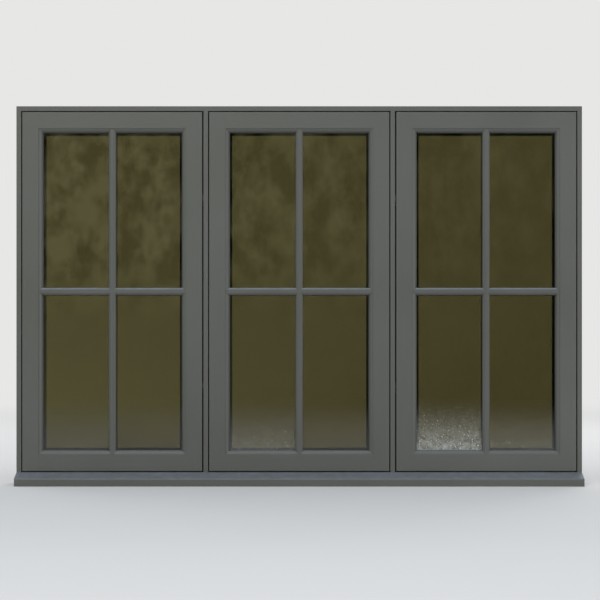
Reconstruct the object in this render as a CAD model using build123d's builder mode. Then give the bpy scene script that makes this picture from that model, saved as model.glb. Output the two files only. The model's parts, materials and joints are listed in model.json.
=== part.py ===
from build123d import *
import os

os.makedirs("parts", exist_ok=True)

# Painted timber flush casement window: one frame, three equal lights.
# The outer two sashes swing outwards on concealed friction stays, and the middle one is fixed.
# +X is to the right seen from outside, +Y runs into the building and +Z is up.
# The origin is on the sill's underside, midway along it, in the plane of the frame's outer face.

# Frame
frame_width = 1800.0
frame_height = 1206.0
frame_depth = 94.0
frame_face = 15.0
mullion_face = 15.0
stop_overlap = 18.0
arris_radius = 1.5

# Sill
sill_height = 41.0
sill_projection = 45.0
nosing_height = 24.0
nosing_radius = 5.0
drip_radius = 3.5
drip_setback = 12.0

# Clearances round the sashes
hinge_gap = 3.0
lock_gap = 4.0
head_gap = 3.0
sill_gap = 3.5
seal_space = 3.0

# Sash stiles and rails
sash_thickness = 57.0
stile_flat = 52.0
mould_radius = 14.0
quirk_depth = 2.0
glass_setback = 18.0

# Mortice and tenon joints
tenon_thickness = 14.0
tenon_length = 37.0
tenon_shoulder = 9.0
tenon_front = 20.0
tenon_clearance = 0.1
tenon_end_gap = 1.0
frame_tenon_length = 20.0
frame_tenon_front = 10.0
frame_tenon_shoulder = 5.0

# Glazing bars on the outer glass
bar_width = 24.0
bar_flat = 10.0
bar_setback = 2.0
bar_quirk = 1.5
scribe_clearance = 0.1

# Sealed glass units
glass_thickness = 4.0
glass_cavity = 16.0
glass_edge_gap = 4.0
spacer_edge_cover = 1.5
spacer_showing = 6.5
spacer_bar_width = 25.0

# Inner glazing beads
bead_round = 7.0

# Seal in the back of each sash
seal_inset = 8.5
seal_width = 5.0
seal_stem_width = 3.0
seal_stem_depth = 3.0
seal_clearance = 0.3
seal_round = 1.2

# Friction stays
stay_link = 120.0
pivot_setback = 26.0
heel_inset = 6.0
pivot_radius = 3.0
pivot_clearance = 0.05
track_width = 18.0
track_height = 5.0
track_wall = 1.2
track_mouth = 9.6
track_end_gap = 0.5
track_tail = 18.0
shoe_clearance = 0.3
neck_clearance = 0.4
arm_thickness = 2.2
arm_width = 16.0
arm_clearance = 0.4
stay_bar_thickness = 2.4
stay_bar_width = 18.0
stay_bar_recess = 0.2
stay_bar_start = 1.5
stay_bar_tail = 26.0
stay_bar_corner = 3.0
pocket_clearance = 0.4
stay_screw_first = 0.25
track_screw_before_anchor = 20.0
track_screw_after_anchor = 12.0
bar_screw_first = 0.15
bar_screw_step = 0.3
bar_screw_after_elbow = 16.0

# Lock along the edge of each opening sash
lock_recess = 7.0
lock_setback = 37.0
faceplate_width = 16.0
faceplate_thickness = 2.4
faceplate_length = 780.0
rod_width = 8.0
rod_thickness = 2.6
rod_length = 720.0
rod_clearance = 0.4
rod_travel = 20.0
cam_radius = 4.0
cam_reach = 7.5
cam_spacing = 600.0
case_width = 14.0
case_height = 110.0
case_behind_spindle = 10.5
backset = 28.0
case_clearance = 0.2
plate_screw_end = 12.0
plate_screw_inner = 180.0
rod_slot_width = 5.0

# Keeps on the mullions
keep_plate = 1.8
keep_width = 26.0
keep_height = 28.0
keep_hook_thickness = 3.0
keep_hook_gap = 0.8
keep_hook_reach = 7.5
keep_hook_height = 22.0
keep_screw_offset = 8.5
keep_screw_setback = 8.0

# Handles
handle_base_length = 70.0
handle_base_width = 25.0
handle_base_height = 9.0
handle_base_round = 3.0
collar_radius = 8.0
collar_clearance = 0.05
collar_lift = 0.3
neck_radius = 6.5
neck_taper = 5.0
handle_standoff = 36.0
hub_radius = 8.5
hub_height = 9.0
hub_bevel = 2.0
lever_length = 112.0
lever_thickness = 8.0
lever_root = 6.5
lever_waist = 5.3
lever_waist_at = 45.0
lever_end_radius = 7.5
lever_round = 3.0
base_screw_offset = 23.0
spindle_size = 7.0
spindle_hole_radius = 5.2
spindle_end_gap = 1.0

# Countersunk screw holes in the hardware
screw_hole_radius = 2.3
screw_sink_radius = 3.4
base_screw_hole_radius = 2.6
base_screw_sink_radius = 4.3
screw_sink_angle = 90.0

# Fixing holes through the jambs
fixing_radius = 4.0
fixing_spacing = 850.0
fixing_setback = 30.0

# Overshoot of a cut past the face that it starts from, and how near counts as on a line
cut_margin = 1.0
same_place = 0.1

# Places worked out from the sizes above
rebate_depth = sash_thickness + seal_space
half_width = frame_width / 2
light_width = (frame_width - 2 * frame_face - 2 * mullion_face) / 3
light_pitch = light_width + mullion_face
stop_width = hinge_gap + stop_overlap
head_z = frame_height - frame_face
sash_bottom = sill_height + sill_gap
sash_top = head_z - head_gap
sash_height = sash_top - sash_bottom
sash_centre_z = (sash_top + sash_bottom) / 2
sill_stop_top = sash_bottom + stop_overlap
head_stop_bottom = sash_top - stop_overlap
sight_inset = stile_flat + mould_radius
glass_inset = stile_flat + glass_edge_gap
spacer_front = glass_setback + glass_thickness
inner_glass_front = spacer_front + glass_cavity
bead_front = inner_glass_front + glass_thickness
frame_tenon_y = rebate_depth + frame_tenon_front

# The stays' pivots and ends, in from the sash's hinge edge
elbow_inset = heel_inset + stay_link
anchor_inset = elbow_inset + stay_link
stay_bar_end = elbow_inset + stay_bar_tail
track_end = anchor_inset + track_tail
track_screws = [stay_link * (stay_screw_first + step / 2) for step in range(3)] + [
    anchor_inset - track_screw_before_anchor,
    anchor_inset + track_screw_after_anchor,
]
stay_bar_screws = [
    heel_inset + stay_link * (bar_screw_first + step * bar_screw_step) for step in range(3)
] + [elbow_inset + bar_screw_after_elbow]

# The lock's layers, in from the sash's lock edge
faceplate_back = lock_recess + faceplate_thickness
rod_front = faceplate_back + rod_clearance
rod_back = rod_front + rod_thickness
rod_groove_back = rod_back + rod_clearance
spindle_inset = lock_recess + backset
case_back = spindle_inset + case_behind_spindle
cam_heights = [sash_centre_z - cam_spacing / 2, sash_centre_z + cam_spacing / 2]
inner_screw_heights = [sash_centre_z - plate_screw_inner, sash_centre_z + plate_screw_inner]
end_screw_heights = [
    sash_centre_z - faceplate_length / 2 + plate_screw_end,
    sash_centre_z + faceplate_length / 2 - plate_screw_end,
]

# Each upright post of the frame: the left side and width of its outer face
posts = {
    "left_jamb": (-half_width, frame_face),
    "left_mullion": (-light_pitch / 2 - mullion_face / 2, mullion_face),
    "right_mullion": (light_pitch / 2 - mullion_face / 2, mullion_face),
    "right_jamb": (half_width - frame_face, frame_face),
}


class Sash:
    """Where a sash stands and how it is hung: hinge is -1 on the left, +1 on the right, 0 fixed."""

    def __init__(self, name, light_centre, hinge, stile_names):
        light_left = light_centre - light_width / 2
        light_right = light_centre + light_width / 2
        self.name = name
        self.hinge = hinge
        self.stile_names = stile_names
        self.left = light_left + (lock_gap if hinge > 0 else hinge_gap)
        self.right = light_right - (lock_gap if hinge < 0 else hinge_gap)
        self.width = self.right - self.left
        self.centre = (self.left + self.right) / 2
        self.towards_lock = -hinge
        self.hinge_wall, self.lock_wall = light_left, light_right
        self.hinge_edge, self.lock_edge = self.left, self.right
        if hinge > 0:
            self.hinge_wall, self.lock_wall = light_right, light_left
            self.hinge_edge, self.lock_edge = self.right, self.left

    def from_hinge(self, inset):
        return self.hinge_edge + self.towards_lock * inset

    def from_lock(self, inset):
        return self.lock_edge - self.towards_lock * inset

    def face_plane(self, depth):
        """The sash seen from outside, centred on it, at a depth behind its face."""
        return Plane((self.centre, depth, sash_centre_z), x_dir=(1, 0, 0), z_dir=(0, -1, 0))

    def member_plane(self, side):
        """For a stile's or rail's section: x runs in from the edge and y runs back from the face."""
        if side == "left":
            return Plane((self.left, 0, sash_bottom), x_dir=(1, 0, 0), z_dir=(0, 0, 1))
        if side == "right":
            return Plane((self.right, 0, sash_top), x_dir=(-1, 0, 0), z_dir=(0, 0, -1))
        if side == "bottom":
            return Plane((self.right, 0, sash_bottom), x_dir=(0, 0, 1), z_dir=(-1, 0, 0))
        return Plane((self.left, 0, sash_top), x_dir=(0, 0, -1), z_dir=(1, 0, 0))

    def is_outline(self, edge):
        """Whether an edge lies on the sash's outer arris, which is rounded."""
        middle = edge.center()
        on_side = min(abs(middle.X - self.left), abs(middle.X - self.right))
        on_end = min(abs(middle.Z - sash_bottom), abs(middle.Z - sash_top))
        return abs(middle.Y) < same_place and min(on_side, on_end) < same_place


sashes = [
    Sash("left_sash", -light_pitch, -1, {"left": "hinge_stile", "right": "lock_stile"}),
    Sash("middle_sash", 0.0, 0, {"left": "left_stile", "right": "right_stile"}),
    Sash("right_sash", light_pitch, 1, {"left": "lock_stile", "right": "hinge_stile"}),
]
opening_sashes = [sash for sash in sashes if sash.hinge]


def block(x, y, z, mode=Mode.ADD):
    """A box between two places along each axis."""
    with Locations(((x[0] + x[1]) / 2, (y[0] + y[1]) / 2, (z[0] + z[1]) / 2)):
        Box(abs(x[1] - x[0]), abs(y[1] - y[0]), abs(z[1] - z[0]), mode=mode)


def both_sides(middle, width):
    """The two places that stand half a width either side of a middle."""
    return (middle - width / 2, middle + width / 2)


def ring(sash, outer_inset, inner_inset):
    """A rectangular ring that follows the sash's outline."""
    Rectangle(sash.width - 2 * outer_inset, sash_height - 2 * outer_inset)
    Rectangle(sash.width - 2 * inner_inset, sash_height - 2 * inner_inset, mode=Mode.SUBTRACT)


def panes(sash, inset, bar):
    """Takes the four panes out of a sketch, leaving a cross of bars."""
    pane_width = (sash.width - 2 * inset - bar) / 2
    pane_height = (sash_height - 2 * inset - bar) / 2
    with GridLocations(pane_width + bar, pane_height + bar, 2, 2):
        Rectangle(pane_width, pane_height, mode=Mode.SUBTRACT)


def screw_holes(places, facing, plate, hole_radius=screw_hole_radius, sink_radius=screw_sink_radius):
    """Countersunk holes through a plate, with their wide ends facing along a direction."""
    for place in places:
        with Locations(Plane(place, z_dir=facing)):
            CounterSinkHole(hole_radius, sink_radius, plate, screw_sink_angle)


def post_mortices(end_z, up):
    """The mortices in the head or sill that take the posts' tenons."""
    for name in posts:
        left, right = post_stop(name)
        block(
            (left + frame_tenon_shoulder - tenon_clearance,
             right - frame_tenon_shoulder + tenon_clearance),
            (frame_tenon_y - tenon_clearance, frame_tenon_y + tenon_thickness + tenon_clearance),
            (end_z, end_z + up * (frame_tenon_length + tenon_end_gap)),
            Mode.SUBTRACT,
        )


def post_stop(name):
    """The left and right sides of a post's stop, which overlaps the sash on each side of it."""
    face_left, face_width = posts[name]
    left = face_left if name == "left_jamb" else face_left - stop_width
    right = face_left + face_width
    return (left, right if name == "right_jamb" else right + stop_width)


def track_grooves(frame_z, up):
    """Grooves in the head or sill that let the stays' tracks in flush."""
    for sash in opening_sashes:
        block(
            (sash.hinge_wall, sash.from_hinge(track_end + case_clearance)),
            both_sides(pivot_setback, track_width + 2 * case_clearance),
            (frame_z, frame_z + up * track_height),
            Mode.SUBTRACT,
        )


# Head, the full width of the frame, with the stop that the sashes close against
with BuildPart() as head:
    with BuildSketch(Plane.YZ.offset(-half_width)):
        Polygon(
            (0, frame_height),
            (0, head_z),
            (rebate_depth, head_z),
            (rebate_depth, head_stop_bottom),
            (frame_depth, head_stop_bottom),
            (frame_depth, frame_height),
            align=None,
        )
    extrude(amount=frame_width)
    track_grooves(head_z, 1)
    post_mortices(head_stop_bottom, 1)
head.part.label = "head"
export_step(head.part, "parts/head.step")

# Sill: a weathered slope runs out to a rounded nosing with a drip groove under it
with BuildPart() as sill:
    with BuildSketch(Plane.YZ.offset(-half_width)) as sill_section:
        Polygon(
            (-sill_projection, 0),
            (-sill_projection, nosing_height),
            (0, sill_height),
            (rebate_depth, sill_height),
            (rebate_depth, sill_stop_top),
            (frame_depth, sill_stop_top),
            (frame_depth, 0),
            align=None,
        )
        nosing_corner = sill_section.vertices().group_by(Axis.X)[0].sort_by(Axis.Y)[-1]
        fillet(nosing_corner, nosing_radius)
        with Locations((drip_setback - sill_projection, 0)):
            Circle(drip_radius, mode=Mode.SUBTRACT)
    extrude(amount=frame_width)
    track_grooves(sill_height, -1)
    post_mortices(sill_stop_top, -1)
sill.part.label = "sill"
export_step(sill.part, "parts/sill.step")

# Jambs and mullions, tenoned into the sill and the head
for name, (face_left, face_width) in posts.items():
    stop_left, stop_right = post_stop(name)
    with BuildPart() as post:
        block((face_left, face_left + face_width), (0, rebate_depth), (sill_height, head_z))
        front_edges = post.edges().filter_by(Axis.Z).group_by(Axis.Y)[0]
        fillet(
            front_edges.filter_by(lambda edge: abs(edge.center().X) < half_width - arris_radius),
            arris_radius,
        )
        block((stop_left, stop_right), (rebate_depth, frame_depth), (sill_stop_top, head_stop_bottom))
        block(
            (stop_left + frame_tenon_shoulder, stop_right - frame_tenon_shoulder),
            (frame_tenon_y, frame_tenon_y + tenon_thickness),
            (sill_stop_top - frame_tenon_length, head_stop_bottom + frame_tenon_length),
        )
        if name.endswith("jamb"):
            fixing_x = face_left + face_width / 2
            with Locations(
                (fixing_x, fixing_setback, sash_centre_z - fixing_spacing / 2),
                (fixing_x, fixing_setback, sash_centre_z),
                (fixing_x, fixing_setback, sash_centre_z + fixing_spacing / 2),
            ):
                Cylinder(fixing_radius, face_width, rotation=(0, 90, 0), mode=Mode.SUBTRACT)
    post.part.label = name
    export_step(post.part, f"parts/{name}.step")


def stay_pockets(sash):
    """Shallow pockets in the sash's top and bottom edges, for the bars of its stays."""
    for edge_z, up in [(sash_top, 1), (sash_bottom, -1)]:
        block(
            (sash.from_hinge(-cut_margin), sash.from_hinge(stay_bar_end + pocket_clearance)),
            both_sides(pivot_setback, stay_bar_width + 2 * pocket_clearance),
            (edge_z + up * cut_margin, edge_z - up * (stay_bar_recess + stay_bar_thickness)),
            Mode.SUBTRACT,
        )


def lock_housing(sash):
    """The recessed edge, grooves and mortice for the lock, and the hole for its spindle."""
    block(
        (sash.from_lock(-cut_margin), sash.from_lock(lock_recess)),
        (glass_setback, sash_thickness + cut_margin),
        (sash_bottom - cut_margin, sash_top + cut_margin),
        Mode.SUBTRACT,
    )
    for depth, width, height in [
        (faceplate_back, faceplate_width, faceplate_length),
        (rod_groove_back, rod_width + 2 * rod_clearance, rod_length + rod_travel + cut_margin),
        (case_back + case_clearance, case_width, case_height),
    ]:
        block(
            (sash.from_lock(lock_recess - cut_margin), sash.from_lock(depth)),
            both_sides(lock_setback, width),
            both_sides(sash_centre_z, height),
            Mode.SUBTRACT,
        )
    hole_depth = sash_thickness - lock_setback
    with Locations((sash.from_lock(spindle_inset), lock_setback + hole_depth / 2, sash_centre_z)):
        Cylinder(spindle_hole_radius, hole_depth, rotation=(90, 0, 0), mode=Mode.SUBTRACT)


def sash_member(sash, side):
    """A stile or rail: a moulded section, mitred at the moulding and tenoned at the corners."""
    is_stile = side in ("left", "right")
    full_length = sash_height if is_stile else sash.width
    start = 0 if is_stile else stile_flat
    section_plane = sash.member_plane(side)
    face = Plane(section_plane.origin, x_dir=section_plane.x_dir, z_dir=-section_plane.y_dir)
    with BuildPart() as member:
        with BuildSketch(section_plane.offset(start)):
            with BuildLine():
                Polyline(
                    (stile_flat, quirk_depth),
                    (stile_flat, 0),
                    (0, 0),
                    (0, sash_thickness),
                    (stile_flat, sash_thickness),
                    (stile_flat, glass_setback),
                    (sight_inset, glass_setback),
                    (sight_inset, quirk_depth + mould_radius),
                )
                CenterArc(
                    (stile_flat, quirk_depth + mould_radius),
                    mould_radius,
                    start_angle=0,
                    arc_size=-90,
                )
            make_face()
        extrude(amount=full_length - 2 * start)
        fillet(member.edges().filter_by(sash.is_outline), arris_radius)
        past = sight_inset + cut_margin
        mitre = [(stile_flat, -cut_margin), (past, -cut_margin), (past, past), (stile_flat, stile_flat)]
        with BuildSketch(face):
            Polygon(*mitre, align=None)
            Polygon(*[(across, full_length - along) for across, along in mitre], align=None)
        extrude(amount=-sash_thickness, mode=Mode.SUBTRACT)
        # A rail has tenons, and a stile has mortices with a little room round them
        slack = tenon_clearance if is_stile else 0
        reach = tenon_length + (tenon_end_gap if is_stile else 0)
        height = stile_flat - 2 * tenon_shoulder + 2 * slack
        across, along = stile_flat / 2, stile_flat - reach / 2
        if is_stile:
            across, along = along, across
        with BuildSketch(face.offset(slack - tenon_front)):
            with Locations((across, along), (across, full_length - along)):
                Rectangle(reach if is_stile else height, height if is_stile else reach)
        extrude(
            amount=-tenon_thickness - 2 * slack,
            mode=Mode.SUBTRACT if is_stile else Mode.ADD,
        )
        # The seal's groove runs round the back of the whole sash
        stem_inset = seal_inset + (seal_width - seal_stem_width) / 2
        with BuildSketch(sash.face_plane(sash_thickness)):
            ring(sash, stem_inset, stem_inset + seal_stem_width)
        extrude(amount=seal_stem_depth, mode=Mode.SUBTRACT)
        if sash.hinge:
            stay_pockets(sash)
        if sash.stile_names.get(side) == "lock_stile":
            lock_housing(sash)
    return member


def glazing_bar(sash, upright):
    """A moulded bar on the outer glass, scribed over the sash's moulding at both ends."""
    if upright:
        plane = Plane((sash.centre, 0, sash_bottom), x_dir=(1, 0, 0), z_dir=(0, 0, 1))
        full_length, ends, end_length = sash_height, ("bottom", "top"), sash.width
    else:
        plane = Plane((sash.left, 0, sash_centre_z), x_dir=(0, 0, -1), z_dir=(1, 0, 0))
        full_length, ends, end_length = sash.width, ("left", "right"), sash_height
    flat, edge = bar_flat / 2, bar_width / 2
    mould_end = bar_setback + bar_quirk + edge - flat
    with BuildPart() as bar:
        with BuildSketch(plane.offset(stile_flat)):
            with BuildLine():
                Polyline((0, bar_setback), (flat, bar_setback), (flat, bar_setback + bar_quirk))
                CenterArc((flat, mould_end), edge - flat, start_angle=-90, arc_size=90)
                Polyline((edge, mould_end), (edge, glass_setback), (0, glass_setback))
                mirror(about=Plane.YZ)
            make_face()
        extrude(amount=full_length - 2 * stile_flat)
        for side in ends:
            with BuildSketch(sash.member_plane(side)):
                with BuildLine():
                    CenterArc(
                        (stile_flat, quirk_depth + mould_radius),
                        mould_radius + scribe_clearance,
                        start_angle=-90,
                        arc_size=90,
                    )
                    Polyline(
                        (sight_inset + scribe_clearance, quirk_depth + mould_radius),
                        (sight_inset + scribe_clearance, glass_setback + cut_margin),
                        (stile_flat - cut_margin, glass_setback + cut_margin),
                        (stile_flat - cut_margin, quirk_depth - scribe_clearance),
                        (stile_flat, quirk_depth - scribe_clearance),
                    )
                make_face()
            extrude(amount=end_length, mode=Mode.SUBTRACT)
        # The two bars are halved together, and their mouldings are mitred
        half_depth = (bar_setback + glass_setback) / 2
        past = edge + cut_margin
        crossing = Plane(
            (sash.centre, half_depth, sash_centre_z), x_dir=plane.x_dir, z_dir=(0, -1, 0)
        )
        with BuildSketch(crossing):
            if upright:
                Polygon((flat, -flat), (past, -past), (past, past), (flat, flat), align=None)
                mirror(about=Plane.YZ)
            else:
                Polygon(
                    (-past, -past), (-flat, -flat), (flat, -flat), (past, -past),
                    (past, past), (flat, flat), (-flat, flat), (-past, past),
                    align=None,
                )
        extrude(amount=half_depth, mode=Mode.SUBTRACT)
        if upright:
            with BuildSketch(crossing):
                Rectangle(bar_width, bar_width)
            extrude(amount=half_depth - glass_setback, mode=Mode.SUBTRACT)
    return bar


# The three sashes, each with its stiles, rails, bars, sealed glass unit, beads and seal
for sash in sashes:
    for side in ("left", "right", "top", "bottom"):
        member = sash_member(sash, side)
        member.part.label = f"{sash.name}_{sash.stile_names.get(side, side + '_rail')}"
        export_step(member.part, f"parts/{member.part.label}.step")

    for upright, bar_name in [(True, "vertical_bar"), (False, "horizontal_bar")]:
        bar = glazing_bar(sash, upright)
        bar.part.label = f"{sash.name}_{bar_name}"
        export_step(bar.part, f"parts/{bar.part.label}.step")

    for glass_name, glass_front in [
        ("outer_glass", glass_setback),
        ("inner_glass", inner_glass_front),
    ]:
        with BuildPart() as glass:
            with BuildSketch(sash.face_plane(glass_front)):
                Rectangle(sash.width - 2 * glass_inset, sash_height - 2 * glass_inset)
            extrude(amount=-glass_thickness)
        glass.part.label = f"{sash.name}_{glass_name}"
        export_step(glass.part, f"parts/{glass.part.label}.step")

    with BuildPart() as spacer:
        with BuildSketch(sash.face_plane(spacer_front)):
            spacer_inset = glass_inset + spacer_edge_cover
            Rectangle(sash.width - 2 * spacer_inset, sash_height - 2 * spacer_inset)
            panes(sash, sight_inset + spacer_showing, spacer_bar_width)
        extrude(amount=-glass_cavity)
    spacer.part.label = f"{sash.name}_glass_spacer"
    export_step(spacer.part, f"parts/{spacer.part.label}.step")

    with BuildPart() as beads:
        with BuildSketch(sash.face_plane(bead_front)):
            Rectangle(sash.width - 2 * stile_flat, sash_height - 2 * stile_flat)
            panes(sash, sight_inset, bar_width)
        extrude(amount=bead_front - sash_thickness)
        pane_loops = beads.faces().sort_by(Axis.Y)[-1].inner_wires()
        fillet([edge for loop in pane_loops for edge in loop.edges()], bead_round)
    beads.part.label = f"{sash.name}_inner_beads"
    export_step(beads.part, f"parts/{beads.part.label}.step")

    with BuildPart() as seal:
        with BuildSketch(sash.face_plane(sash_thickness)):
            ring(sash, seal_inset, seal_inset + seal_width)
        extrude(amount=seal_clearance - seal_space)
        fillet(seal.edges().group_by(Axis.Y)[-1], seal_round)
        with BuildSketch(sash.face_plane(sash_thickness)):
            stem_inset = seal_inset + (seal_width - seal_stem_width) / 2
            ring(sash, stem_inset, stem_inset + seal_stem_width)
        extrude(amount=seal_stem_depth)
    seal.part.label = f"{sash.name}_seal"
    export_step(seal.part, f"parts/{seal.part.label}.step")

# Friction stays at the top and bottom of each opening sash.
# The heel slides along the track as the arm swings out, and both links are equally long,
# so the sash turns about the moving elbow by exactly as much as the arm turns about its anchor.
for sash in opening_sashes:
    side = sash.name.removesuffix("_sash")
    for end, frame_z, edge_z, up in [
        ("top", head_z, sash_top, 1),
        ("bottom", sill_height, sash_bottom, -1),
    ]:
        heel = (sash.from_hinge(heel_inset), pivot_setback)
        elbow = (sash.from_hinge(elbow_inset), pivot_setback)
        anchor = (sash.from_hinge(anchor_inset), pivot_setback)
        arm_near = frame_z - up * arm_clearance
        bar_face = edge_z - up * stay_bar_recess
        track_start = sash.hinge_wall + sash.towards_lock * track_end_gap

        with BuildPart() as track:
            with BuildSketch(
                Plane((track_start, pivot_setback, frame_z), x_dir=(0, 1, 0), z_dir=(1, 0, 0))
            ):
                with Locations((0, up * track_height / 2)):
                    Rectangle(track_width, track_height)
                    Rectangle(
                        track_width - 2 * track_wall,
                        track_height - 2 * track_wall,
                        mode=Mode.SUBTRACT,
                    )
                with Locations((0, up * track_wall / 2)):
                    Rectangle(track_mouth, track_wall, mode=Mode.SUBTRACT)
            extrude(amount=sash.from_hinge(track_end) - track_start)
            # The anchor is a shouldered stud riveted through the track
            with BuildSketch(Plane.XY.offset(frame_z + up * (track_height - track_wall))):
                with Locations(anchor):
                    Circle(track_mouth / 2 + track_wall)
            extrude(amount=-up * (track_height - track_wall))
            with BuildSketch(Plane.XY.offset(frame_z)):
                with Locations(anchor):
                    Circle(pivot_radius)
            extrude(amount=-up * (arm_clearance + arm_thickness))
            track_floor = frame_z + up * (track_height - track_wall)
            screw_holes(
                [(sash.from_hinge(inset), pivot_setback, track_floor) for inset in track_screws],
                (0, 0, -up),
                track_wall,
            )
        track.part.label = f"{side}_{end}_stay_track"
        export_step(track.part, f"parts/{track.part.label}.step")

        with BuildPart() as arm:
            with BuildSketch(Plane.XY.offset(arm_near)):
                with Locations(((elbow[0] + anchor[0]) / 2, pivot_setback)):
                    SlotCenterToCenter(stay_link, arm_width)
                with Locations(elbow, anchor):
                    Circle(pivot_radius + pivot_clearance, mode=Mode.SUBTRACT)
            extrude(amount=-up * arm_thickness)
        arm.part.label = f"{side}_{end}_stay_arm"
        export_step(arm.part, f"parts/{arm.part.label}.step")

        with BuildPart() as stay_bar:
            bar_start_x = sash.from_hinge(stay_bar_start)
            bar_end_x = sash.from_hinge(stay_bar_end)
            with BuildSketch(Plane.XY.offset(bar_face)):
                with Locations(((bar_start_x + bar_end_x) / 2, pivot_setback)):
                    RectangleRounded(stay_bar_end - stay_bar_start, stay_bar_width, stay_bar_corner)
            extrude(amount=-up * stay_bar_thickness)
            screw_holes(
                [(sash.from_hinge(inset), pivot_setback, bar_face) for inset in stay_bar_screws],
                (0, 0, up),
                stay_bar_thickness,
            )
            # The elbow's stud, flush with the far face of the arm
            with BuildSketch(Plane.XY.offset(bar_face)):
                with Locations(elbow):
                    Circle(pivot_radius)
            extrude(amount=arm_near - bar_face)
            # The heel's neck and round shoe, which runs inside the track
            shoe_near = frame_z + up * (track_wall + shoe_clearance)
            shoe_far = frame_z + up * (track_height - track_wall - shoe_clearance)
            with BuildSketch(Plane.XY.offset(bar_face)):
                with Locations(heel):
                    Circle(track_mouth / 2 - neck_clearance)
            extrude(amount=shoe_near - bar_face)
            with BuildSketch(Plane.XY.offset(shoe_near)):
                with Locations(heel):
                    Circle(track_width / 2 - track_wall - shoe_clearance)
            extrude(amount=shoe_far - shoe_near)
        stay_bar.part.label = f"{side}_{end}_stay_bar"
        export_step(stay_bar.part, f"parts/{stay_bar.part.label}.step")

# Locks: a rod with two cams slides behind the faceplate as the handle turns the case's spindle.
# The rods are drawn in their unlocked place, one travel below the keeps.
for sash in opening_sashes:
    side = sash.name.removesuffix("_sash")
    spindle_x = sash.from_lock(spindle_inset)
    cam_middle = sash.from_lock((rod_front + lock_recess - cam_reach) / 2)
    cam_length = rod_front - lock_recess + cam_reach

    with BuildPart() as lock_case:
        block(
            (sash.from_lock(lock_recess), sash.from_lock(faceplate_back)),
            both_sides(lock_setback, faceplate_width),
            both_sides(sash_centre_z, faceplate_length),
        )
        block(
            (sash.from_lock(faceplate_back), sash.from_lock(case_back)),
            both_sides(lock_setback, case_width),
            both_sides(sash_centre_z, case_height),
        )
        block(
            (sash.from_lock(faceplate_back), sash.from_lock(rod_groove_back)),
            both_sides(lock_setback, rod_width + 2 * rod_clearance),
            both_sides(sash_centre_z, case_height),
            Mode.SUBTRACT,
        )
        with BuildSketch(
            Plane(
                (sash.from_lock(lock_recess), lock_setback, sash_centre_z - rod_travel / 2),
                x_dir=(0, 1, 0),
                z_dir=(1, 0, 0),
            )
        ):
            with Locations((0, -cam_spacing / 2), (0, cam_spacing / 2)):
                SlotCenterToCenter(rod_travel, 2 * (cam_radius + rod_clearance), rotation=90)
        extrude(amount=faceplate_thickness, both=True, mode=Mode.SUBTRACT)
        with Locations((spindle_x, lock_setback, sash_centre_z)):
            Cylinder(spindle_hole_radius, case_width, rotation=(90, 0, 0), mode=Mode.SUBTRACT)
        screw_holes(
            [
                (sash.from_lock(lock_recess), lock_setback, z)
                for z in end_screw_heights + inner_screw_heights
            ],
            (sash.towards_lock, 0, 0),
            faceplate_thickness,
        )
    lock_case.part.label = f"{side}_lock_case"
    export_step(lock_case.part, f"parts/{lock_case.part.label}.step")

    with BuildPart() as rod:
        block(
            (sash.from_lock(rod_front), sash.from_lock(rod_back)),
            both_sides(lock_setback, rod_width),
            both_sides(sash_centre_z - rod_travel / 2, rod_length),
        )
        with Locations([(cam_middle, lock_setback, z - rod_travel) for z in cam_heights]):
            Cylinder(cam_radius, cam_length, rotation=(0, 90, 0))
        # Slots let the rod slide past the faceplate's inner screws
        with BuildSketch(
            Plane((sash.from_lock(rod_front), lock_setback, 0), x_dir=(0, 1, 0), z_dir=(1, 0, 0))
        ):
            with Locations([(0, z - rod_travel / 2) for z in inner_screw_heights]):
                SlotCenterToCenter(rod_travel, rod_slot_width, rotation=90)
        extrude(amount=rod_thickness, both=True, mode=Mode.SUBTRACT)
    rod.part.label = f"{side}_lock_rod"
    export_step(rod.part, f"parts/{rod.part.label}.step")

# Keeps: a plate on the mullion with a hook that each cam turns in behind
with BuildPart() as keeps:
    hook_back = lock_setback - cam_radius - keep_hook_gap
    for sash in opening_sashes:
        wall = sash.lock_wall
        for z in cam_heights:
            block(
                (wall, wall - sash.towards_lock * keep_plate),
                both_sides(lock_setback, keep_width),
                both_sides(z, keep_height),
            )
            block(
                (wall, wall - sash.towards_lock * keep_hook_reach),
                (hook_back - keep_hook_thickness, hook_back),
                both_sides(z, keep_hook_height),
            )
            screw_holes(
                [
                    (wall - sash.towards_lock * keep_plate, lock_setback + keep_screw_setback, place)
                    for place in both_sides(z, 2 * keep_screw_offset)
                ],
                (-sash.towards_lock, 0, 0),
                keep_plate,
            )
keeps.part.label = "lock_keeps"
export_step(keeps.part, "parts/lock_keeps.step")

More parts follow.
